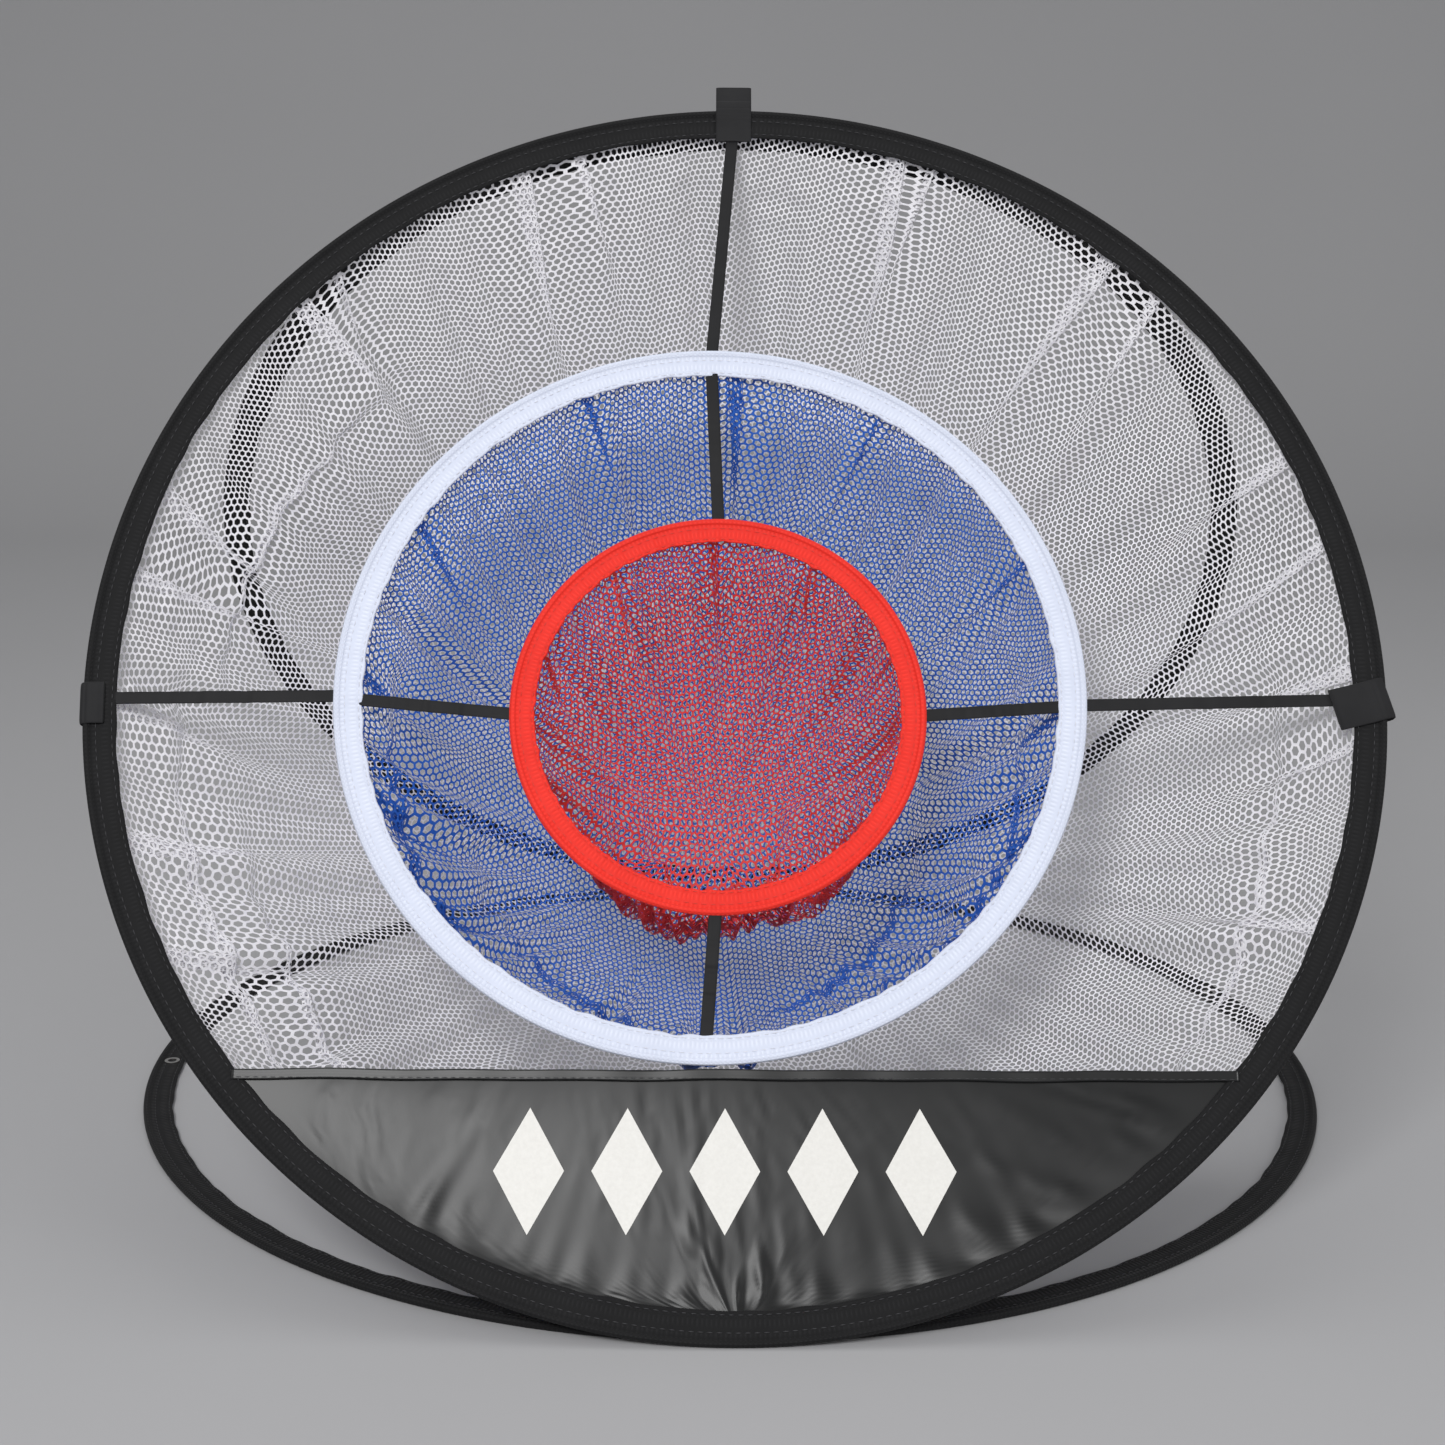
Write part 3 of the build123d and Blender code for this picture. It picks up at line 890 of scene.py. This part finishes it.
def ribbon(name, path, side, width, thickness, ribs, material, wavy=0.0, seed=0):
    """A flat woven ribbon along a path, with round edges and fine ribs along it."""
    path = np.asarray(path, float)
    side = np.asarray(side, float)
    tangent = np.gradient(path, axis=0)
    tangent /= np.linalg.norm(tangent, axis=1, keepdims=True)
    sides = np.broadcast_to(side, path.shape)
    normal = np.cross(tangent, sides)
    normal /= np.linalg.norm(normal, axis=1, keepdims=True)
    across = np.cos(np.linspace(math.pi, 0, RIBBON_ACROSS))
    edge = np.sqrt(np.clip(1 - np.abs(across) ** 8, 0, 1))
    rib = 0.86 + 0.14 * np.abs(np.sin(across * ribs * math.pi / 2))
    top = np.stack([across * width / 2, edge * rib * thickness / 2], 1)
    bottom = np.stack([across[::-1] * width / 2, -edge * thickness / 2], 1)[1:-1]
    section = np.concatenate([top, bottom])
    along = np.linspace(0, 1, len(path))
    ripple = wave(along * 2 * math.pi, (3, 5, 9, 14), seed, wavy) * np.sin(math.pi * along)
    points = (
        path[:, None]
        + section[None, :, 0:1] * sides[:, None]
        + (section[None, :, 1:2] + ripple[:, None, None]) * normal[:, None]
    )
    count = len(section)
    faces = grid_faces(len(path), count, close_columns=True)
    faces.append(tuple(range(count)))
    faces.append(tuple(len(path) * count - 1 - i for i in range(count)))
    return new_piece(name, points.reshape(-1, 3), faces, material)


def finish_piece(piece, body, node):
    """Hands a piece to the frame in place of a CAD node."""
    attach(piece, body)
    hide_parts(node)


def node_points(node):
    """The points of a CAD node, in the front hoop's plane."""
    vertices = bpy.data.objects[node].data.vertices
    return np.array([front_plane.local(vertex.co) for vertex in vertices])


def make_straps():
    """Elastic straps where the CAD straps run, with their ends tucked under the sleeves."""
    outer = [f"strap_{end}_outer" for end in ("top", "left", "right")]
    inner = [f"strap_{end}_inner" for end in ("top", "left", "right", "bottom")]
    for seed, node in enumerate(outer + inner):
        points = node_points(node)[:, :2]
        middle = points.mean(0)
        spread = points - middle
        direction = np.linalg.svd(spread, full_matrices=False)[2][0]
        reach = spread @ direction
        centre = (points[reach < reach.min() + 0.004].mean(0), points[reach > reach.max() - 0.004].mean(0))
        direction = (centre[1] - centre[0]) / np.linalg.norm(centre[1] - centre[0])
        start = centre[0] - direction * STRAP_OVERLAP
        end = centre[1] + direction * STRAP_OVERLAP
        share = np.linspace(0, 1, RIBBON_STEPS)[:, None]
        flat = start * (1 - share) + end * share
        path = front_plane.place(np.column_stack([flat, np.zeros(RIBBON_STEPS)]))
        side = front_plane.place(np.array([-direction[1], direction[0], 0.0])) - front_plane.origin
        name = node + "_elastic"
        piece = ribbon(name, path, side, STRAP_WIDTH, STRAP_THICKNESS, 5, BLACK_ELASTIC, 0.0006, seed)
        finish_piece(piece, "front_hoop", node)


def make_top_tabs():
    """The hook and loop tabs over the top of the front and the rear hoop, and the pad between them."""
    low, high = node_points("tab_top").min(0), node_points("tab_top").max(0)
    across = (low[0] + high[0]) / 2
    width = high[0] - low[0]
    crown = front_ring.middle[1] + front_ring.wire_radius
    side = front_plane.across
    front_corners = [
        (low[1], 0.0011), (crown - 0.007, 0.0013), (crown - 0.003, 0.0019), (crown, 0.0022),
        (crown + 0.003, 0.0021), (crown + 0.006, 0.0016), (high[1], 0.0014),
    ]
    path = smooth_path([(across, up, out) for up, out in front_corners])
    path = front_plane.place(path)
    front = ribbon("top_tab_webbing", path, side, width, TAB_THICKNESS, 9, BLACK_WEBBING, 0.0003, 21)
    finish_piece(front, "front_hoop", "tab_top")
    rear_low = node_points("rear_top_tab").min(0)
    rear_corners = [
        (rear_low[1], -0.0056), (crown - 0.001, -0.0057), (crown + 0.002, -0.0052),
        (crown + 0.005, -0.0036), (high[1], -0.0031),
    ]
    path = smooth_path([(across, up, out) for up, out in rear_corners])
    path = front_plane.place(path)
    rear = ribbon("rear_tab_webbing", path, side, width, TAB_THICKNESS, 9, BLACK_WEBBING, 0.0003, 22)
    finish_piece(rear, "rear_hoop", "rear_top_tab")
    low, high = node_points("tab_top_hook_pad").min(0), node_points("tab_top_hook_pad").max(0)
    thickness = high[2] - low[2]
    path = smooth_path([(across, up, (low[2] + high[2]) / 2) for up in (low[1], high[1])])
    pad = ribbon("hook_pad", front_plane.place(path), side, high[0] - low[0], thickness, 14, BLACK_WEBBING)
    finish_piece(pad, "front_hoop", "tab_top_hook_pad")


def make_side_tab(node, angle, tilt, flap, seed):
    """A webbing tab folded over the hoop's outer edge, with a flap on its face."""
    ring = front_ring
    radial = np.array([math.cos(angle), math.sin(angle), 0.0])
    turned = angle + math.radians(tilt)
    inward = -np.array([math.cos(turned), math.sin(turned), 0.0])
    side_local = np.array([-inward[1], inward[0], 0.0])
    edge = np.array([ring.middle[0], ring.middle[1], 0.0]) + radial * (ring.radius + 0.0003)
    fold = [
        (flap, 0.0013), (0.0085, 0.0014), (0.0052, 0.0019), (0.0022, 0.0021), (0.0003, 0.0014),
        (-0.0002, 0.0), (0.0003, -0.0014), (0.0022, -0.0021), (0.0052, -0.0017), (0.0068, -0.0012),
    ]
    corners = [edge + inward * run + np.array([0.0, 0.0, out]) for run, out in fold]
    side = front_plane.place(side_local) - front_plane.origin
    path = front_plane.place(smooth_path(corners))
    piece = ribbon(node + "_webbing", path, side, 0.017, 0.0010, 10, BLACK_WEBBING, 0.0004, seed)
    finish_piece(piece, "front_hoop", node)


def make_side_tabs():
    make_side_tab("tab_left", math.radians(183), 0, 0.0072, 31)
    make_side_tab("tab_right", math.radians(-2), 16, 0.022, 32)


def make_seam_tapes():
    """Short tapes that cover the join of the base sleeve at the front and the rear."""
    for seed, node in enumerate(("front_seam_tape", "rear_seam_tape")):
        low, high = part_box(node)
        along = np.linspace(low[0], high[0], RIBBON_STEPS)
        middle = (low[1] + high[1]) / 2
        height = high[2] - 0.0005
        radius = base_ring.radius - 0.005
        bow = np.sqrt(np.clip(radius**2 - along**2, 0, None)) - radius
        bowed = middle + math.copysign(1, middle) * bow
        path = np.column_stack([along, bowed, np.full(RIBBON_STEPS, height)])
        width = high[1] - low[1] - 0.001
        name = node + "_webbing"
        piece = ribbon(name, path, (0, 1, 0), width, 0.0008, 5, BLACK_WEBBING, 0.0002, 41 + seed)
        finish_piece(piece, "base", node)


# ---------------- apron
class Apron:
    """The nylon panel across the bottom of the front hoop, slightly too large, so that it wrinkles."""

    rows = 56
    columns = 220

    def __init__(self):
        low, high = node_points("apron_panel").min(0), node_points("apron_panel").max(0)
        self.top = high[1]
        self.reach = front_ring.inner + 0.003
        self.centre = front_ring.middle[1]
        self.bottom = self.centre - self.reach * math.cos(math.radians(5))

    def half_width(self, up):
        return np.sqrt(np.clip(self.reach**2 - (up - self.centre) ** 2, 1e-8, None))

    def flat(self):
        up = np.linspace(self.bottom, self.top, self.rows)[:, None]
        across = np.linspace(-1, 1, self.columns)[None, :] * self.half_width(up)
        return across, up * np.ones_like(across)

    def settle(self):
        across, up = self.flat()
        lift = self.ripples(across, up)
        start = front_plane.place(np.stack([across, up, lift], -1)).reshape(-1, 3)
        middle = (self.top + self.bottom) / 2
        cut = np.stack([across * APRON_FULLNESS, middle + (up - middle) * APRON_FULLNESS, 0 * up], -1)
        cut = front_plane.place(cut).reshape(-1, 3)
        index = np.arange(self.rows * self.columns).reshape(self.rows, self.columns)
        pinned = np.unique(np.concatenate([index[0], index[-1], index[:, 0], index[:, -1]]))
        points = start
        faces = grid_faces(self.rows, self.columns)
        points = settle("apron", start, cut, faces, pinned, APRON_FRAMES, bending=0.06)
        self.points = self.keep_flat(points).reshape(self.rows, self.columns, 3)

    def ripples(self, across, up):
        """Small starting ripples: fine ones that run in from the hoop, and broad ones everywhere."""
        depth = np.clip((self.top - up) / (self.top - self.bottom), 0, 1)
        turn = np.arctan2(up - self.centre, across)
        near_rim = depth**1.5
        fine = wave(turn, (70, 91, 118, 150), SEED + 50, 0.0022) * near_rim
        broad = wave(turn * 3 + up * 30, (3, 5, 8), SEED + 51, 0.0016)
        edge = np.minimum(1, (1 - np.abs(across) / self.half_width(up)) * 6)
        hem = np.minimum(1, (self.top - up) / 0.012)
        bottom = np.minimum(1, (up - self.bottom) / 0.006)
        return (fine + broad) * edge * hem * bottom - 0.0007

    def keep_flat(self, points):
        """Keeps the wrinkles within a few millimetres of the hoop's plane."""
        out = (points - front_plane.origin) @ front_plane.out
        kept = APRON_LIMIT * np.tanh(out / APRON_LIMIT)
        return points + (kept - out)[:, None] * front_plane.out

    def surface(self, across, up):
        """The place of points of the flat panel once it has wrinkled."""
        row = np.clip((up - self.bottom) / (self.top - self.bottom), 0, 1) * (self.rows - 1)
        column = (np.clip(across / self.half_width(up), -1, 1) + 1) / 2 * (self.columns - 1)
        low_row = np.minimum(row.astype(int), self.rows - 2)
        low_column = np.minimum(column.astype(int), self.columns - 2)
        row_share, column_share = (row - low_row)[:, None], (column - low_column)[:, None]
        here, beside = self.points[low_row, low_column], self.points[low_row, low_column + 1]
        above, opposite = self.points[low_row + 1, low_column], self.points[low_row + 1, low_column + 1]
        lower = here * (1 - column_share) + beside * column_share
        upper = above * (1 - column_share) + opposite * column_share
        return lower * (1 - row_share) + upper * row_share


def make_apron():
    apron = Apron()
    apron.settle()
    faces = grid_faces(apron.rows, apron.columns)
    panel = new_piece("apron_cloth", apron.points.reshape(-1, 3), faces, NYLON)
    thicken(panel, 0.0004)
    finish_piece(panel, "front_hoop", "apron_panel")
    make_hem(apron)
    make_print(apron)


def thicken(piece, thickness):
    """Gives a sheet a real thickness."""
    modifier = piece.modifiers.new("thickness", "SOLIDIFY")
    modifier.thickness = thickness
    modifier.offset = 0.0
    apply_modifiers(piece)


def apply_modifiers(piece):
    """Replaces a piece's mesh by what its modifiers make of it."""
    shaped = piece.evaluated_get(bpy.context.evaluated_depsgraph_get())
    mesh = bpy.data.meshes.new_from_object(shaped)
    piece.modifiers.clear()
    piece.data = mesh


def make_hem(apron):
    """The folded top edge of the apron, with a line of stitches."""
    low, high = node_points("apron_hem").min(0), node_points("apron_hem").max(0)
    steps = 300
    up = (low[1] + high[1]) / 2
    along = np.linspace(-1, 1, steps) * float(apron.half_width(up)) * 0.995
    flat = np.column_stack([along, np.full(steps, up), np.full(steps, high[2] - 0.0003)])
    flat[:, 1] += wave(along * 12, (3, 7, 11), SEED + 60, 0.0006)
    path = front_plane.place(flat)
    piece = ribbon("apron_hem_fold", path, front_plane.up, high[1] - low[1], 0.0009, 1, NYLON, 0.0004, 61)
    finish_piece(piece, "front_hoop", "apron_hem")
    count = int(2 * apron.half_width(up) / 0.0032)

    def place(index, shift):
        across = (index / (count - 1) * 2 - 1) * apron.half_width(up) * 0.98 + shift
        point = front_plane.place(np.array([float(across), low[1] + 0.0008, high[2] + 0.0001]))
        return point, front_plane.out, front_plane.across

    seam = stitches("apron_hem_stitches", place, count, 0.0021, 0.0002, 0.00016, BLACK_THREAD)
    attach(seam, "front_hoop")


def make_print(apron):
    """A row of plain diamonds printed on the apron, which follow its wrinkles."""
    low, high = node_points("apron_print").min(0), node_points("apron_print").max(0)
    height = high[1] - low[1]
    width = height * 26 / 46
    pitch = (high[0] - low[0] - width) / (PRINT_COUNT - 1)
    steps = 22
    run = np.linspace(-1, 1, steps)
    one, other = np.meshgrid(run, run, indexing="ij")
    points, faces = [], []
    for index in range(PRINT_COUNT):
        middle = low[0] + width / 2 + index * pitch
        across = middle + (one + other) / 2 * width / 2
        up = (low[1] + high[1]) / 2 + (one - other) / 2 * height / 2
        offset = len(points) * steps * steps
        place = apron.surface(across.ravel(), up.ravel()) + 0.00035 * front_plane.out
        points.append(place)
        faces.extend(tuple(offset + corner for corner in face) for face in grid_faces(steps, steps))
    piece = new_piece("apron_diamonds", np.concatenate(points), faces, PRINT)
    finish_piece(piece, "front_hoop", "apron_print")


def make_camera():
    data = bpy.data.cameras.new("camera")
    data.lens = CAMERA_LENS
    data.sensor_width = CAMERA_SENSOR
    data.clip_start = 0.01
    camera = bpy.data.objects.new("camera", data)
    bpy.context.scene.collection.objects.link(camera)
    turn = Matrix.Rotation(math.radians(CAMERA_TURN), 4, "Z")
    tilt = Matrix.Rotation(math.radians(90 - CAMERA_DOWN), 4, "X")
    roll = Matrix.Rotation(math.radians(CAMERA_ROLL), 4, "Z")
    camera.matrix_world = Matrix.Translation(CAMERA_PLACE) @ turn @ tilt @ roll
    bpy.context.scene.camera = camera


def make_light(name, place, aim, size, power):
    data = bpy.data.lights.new(name, "AREA")
    data.shape = "DISK"
    data.size = size
    data.energy = power
    light = bpy.data.objects.new(name, data)
    light.location = place
    light.rotation_euler = (Vector(aim) - Vector(place)).to_track_quat("-Z", "Y").to_euler()
    bpy.context.scene.collection.objects.link(light)


def make_studio():
    """A plain seamless backdrop, a broad soft key light from the front and a weak fill."""
    floor_end, bend = 1.6, 0.9
    profile = [(-5.0, 0.0), (floor_end, 0.0)]
    for turn in np.linspace(0.1, math.pi / 2, 14):
        profile.append((floor_end + bend * math.sin(turn), bend - bend * math.cos(turn)))
    profile.append((floor_end + bend, 5.0))
    vertices = [(side * 5.0, y, z) for y, z in profile for side in (-1, 1)]
    faces = [(2 * i, 2 * i + 1, 2 * i + 3, 2 * i + 2) for i in range(len(profile) - 1)]
    new_piece("studio_backdrop", vertices, faces, FLOOR)
    world = bpy.data.worlds.new("studio")
    world.use_nodes = True
    background = world.node_tree.nodes["Background"]
    background.inputs["Color"].default_value = (1.0, 1.0, 1.0, 1.0)
    background.inputs["Strength"].default_value = 0.45
    bpy.context.scene.world = world
    middle = (0.0, 0.0, 0.2)
    make_light("key", (-0.5, -1.9, 1.5), middle, 0.7, 33.0)
    make_light("fill", (1.5, -1.4, 0.9), middle, 1.2, 8.0)
    make_light("top", (0.0, 0.5, 2.2), middle, 1.6, 9.0)
    bpy.context.scene.view_settings.view_transform = "Standard"


def make_metal():
    """Metal on the CAD parts that show as they are: wires, ferrules and eyelets."""
    for node in frame["nodes"]:
        if node.endswith(("_wire", "_ferrule")):
            set_material(node, SPRING_STEEL)
    set_material("base_eyelets", EYELET_METAL)


def set_material(node, material):
    materials = bpy.data.objects[node].data.materials
    materials.clear()
    materials.append(material)


make_camera()
make_studio()
make_sleeves()
make_straps()
make_top_tabs()
make_side_tabs()
make_seam_tapes()
make_apron()
make_nets()
make_metal()
